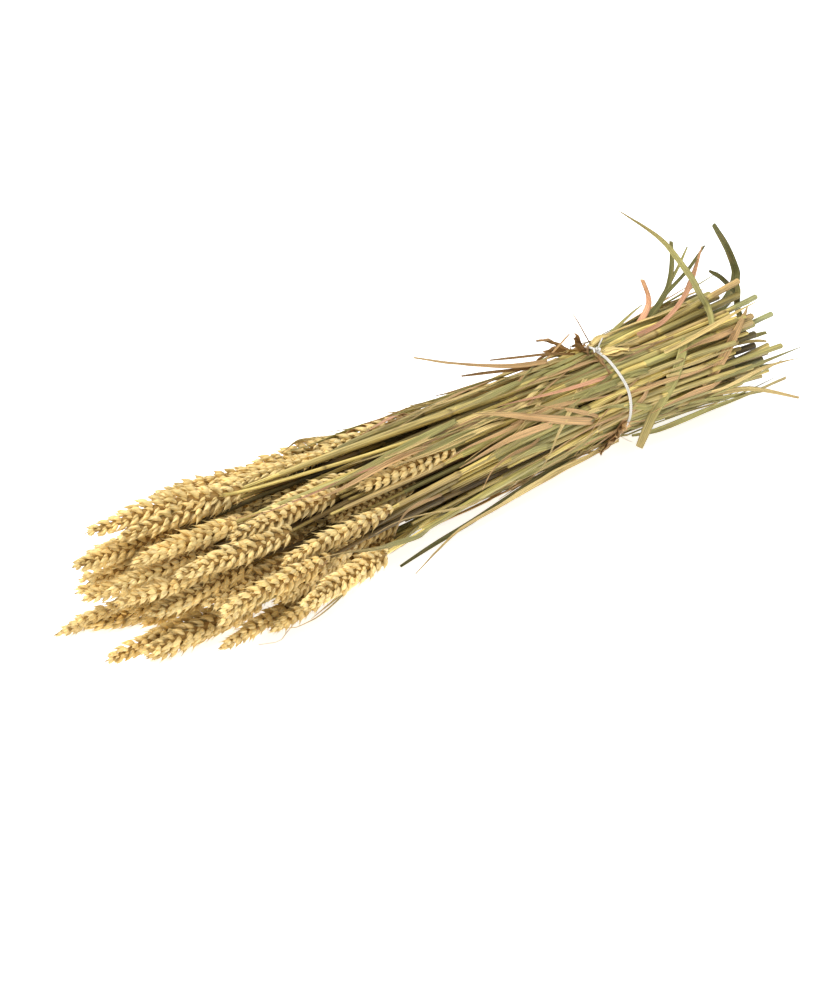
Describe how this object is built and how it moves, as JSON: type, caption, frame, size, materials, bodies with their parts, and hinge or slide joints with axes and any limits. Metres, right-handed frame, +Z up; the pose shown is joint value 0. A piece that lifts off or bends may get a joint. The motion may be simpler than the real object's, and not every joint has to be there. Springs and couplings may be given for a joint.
{
  "type": "bundle of dried wheat",
  "caption": "Tied bunch of dried wheat lying on its side: straws with full ears, loose dry leaves and one cord tie near the cut ends.",
  "frame": {"origin": "middle of the bunch's footprint on the surface it lies on", "axes": "+X along the bunch from the ears towards the cut ends, +Z up"},
  "size_m": [0.6312, 0.1766, 0.1631],
  "materials": {
    "stalk": "matt dry straw and ripe golden ears",
    "leaf": "matt dry leaf, khaki to straw-coloured",
    "leaf_rust": "matt dry leaf, reddish tan",
    "cord": "matt white twisted cotton"
  },
  "bodies": {
    "root": {"stalk_01": "stalk", "stalk_02": "stalk", "stalk_03": "stalk", "stalk_04": "stalk", "stalk_05": "stalk", "stalk_06": "stalk", "stalk_07": "stalk", "stalk_08": "stalk", "stalk_09": "stalk", "stalk_10": "stalk", "stalk_11": "stalk", "stalk_12": "stalk", "stalk_13": "stalk", "stalk_14": "stalk", "stalk_15": "stalk", "stalk_16": "stalk", "stalk_17": "stalk", "stalk_18": "stalk", "stalk_19": "stalk", "stalk_20": "stalk", "stalk_21": "stalk", "stalk_22": "stalk", "stalk_23": "stalk", "stalk_24": "stalk", "stalk_25": "stalk", "stalk_26": "stalk", "stalk_27": "stalk", "stalk_28": "stalk", "stalk_29": "stalk", "stalk_30": "stalk", "stalk_31": "stalk", "stalk_32": "stalk", "stalk_33": "stalk", "stalk_34": "stalk", "stalk_35": "stalk", "stalk_36": "stalk", "stalk_37": "stalk", "stalk_38": "stalk", "stalk_39": "stalk", "stalk_40": "stalk", "stalk_41": "stalk", "stalk_42": "stalk", "stalk_43": "stalk", "stalk_44": "stalk", "stalk_45": "stalk", "stalk_46": "stalk", "leaf_arching": "leaf", "leaf_dark_curled": "leaf", "leaf_upright": "leaf", "leaf_rust_tip": "leaf_rust", "leaf_rust_stub": "leaf_rust", "leaf_over_end": "leaf", "leaf_tie_crossing": "leaf", "leaf_low_trailing": "leaf", "leaf_end_spread": "leaf", "leaf_top_stray": "leaf", "leaf_side_trailing": "leaf", "leaf_crossing": "leaf", "leaf_over_ears": "leaf", "tie_cord": "cord"}
  },
  "joints": []
}
